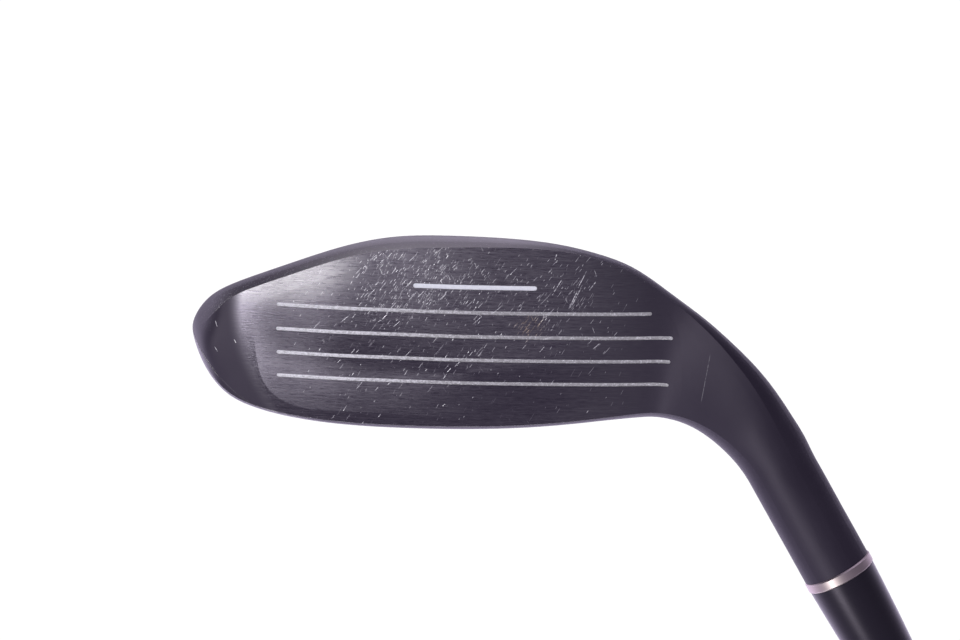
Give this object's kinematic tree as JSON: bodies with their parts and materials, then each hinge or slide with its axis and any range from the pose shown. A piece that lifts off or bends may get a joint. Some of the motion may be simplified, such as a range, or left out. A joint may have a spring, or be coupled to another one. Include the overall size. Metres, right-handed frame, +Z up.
{
  "type": "hybrid golf club",
  "caption": "Left-handed hybrid golf club: hollow wood-shaped head with a lofted scored face, curved neck, ferrule, tapered shaft and rubber grip, for lifting a ball off the turf.",
  "frame": {"origin": "on the ground straight below the middle of the face, in the upright plane of the shaft axis, with the club soled in playing position", "axes": "+X heel to toe, -Y the way the face looks (towards the target), +Z up; the shaft rises towards -X"},
  "size_m": [0.6262, 0.0697, 0.8896],
  "materials": {
    "body_paint": "satin black coating",
    "crown_paint": "gloss black coating",
    "face_steel": "dark coated steel, brushed from heel to toe",
    "line_paint": "light grey paint fill",
    "align_paint": "white paint fill",
    "screw_steel": "satin steel",
    "washer_alloy": "satin",
    "weight_metal": "bare",
    "glue_soft": "soft, slightly clear",
    "brass": "turned",
    "epoxy": "cured adhesive",
    "ring_alloy": "turned, warm silver",
    "ferrule_black": "polished",
    "shaft_carbon": "clear-coated composite",
    "plug_foam": "foam",
    "tape": "creped paper tape",
    "grip_rubber": "matte, textured"
  },
  "bodies": {
    "club": {"head_body": "body_paint", "crown_shell": "crown_paint", "face_plate": "face_steel", "scoreline_paint_1": "line_paint", "scoreline_paint_2": "line_paint", "scoreline_paint_3": "line_paint", "scoreline_paint_4": "line_paint", "alignment_line_paint": "align_paint", "swing_weight_pad": "weight_metal", "rattle_glue": "glue_soft", "tip_weight": "brass", "hosel_glue": "epoxy", "ferrule_ring": "ring_alloy", "ferrule_collar": "ferrule_black", "shaft_tube": "shaft_carbon", "shaft_plug": "plug_foam", "grip_tape": "tape", "grip_sleeve": "grip_rubber", "grip_end_cap": "grip_rubber"},
    "weight_carrier": {"weight_washer": "washer_alloy"},
    "weight_screw": {"sole_weight_screw": "screw_steel"}
  },
  "joints": [
    {"name": "weight_travel", "type": "slide", "parent": "club", "child": "weight_carrier", "axis": [0, 0.3584, -0.9336], "range_m": [0, 0.008]},
    {"name": "weight_turn", "type": "hinge", "parent": "weight_carrier", "child": "weight_screw", "pos_m": [0.004, 0.0416, 0.00945], "axis": [0, 0.3584, -0.9336], "range_deg": [0, 2880.5]}
  ],
  "couplings": [
    {"joint": "weight_turn", "follows": "weight_travel", "rad_per_m": 6283.2}
  ]
}
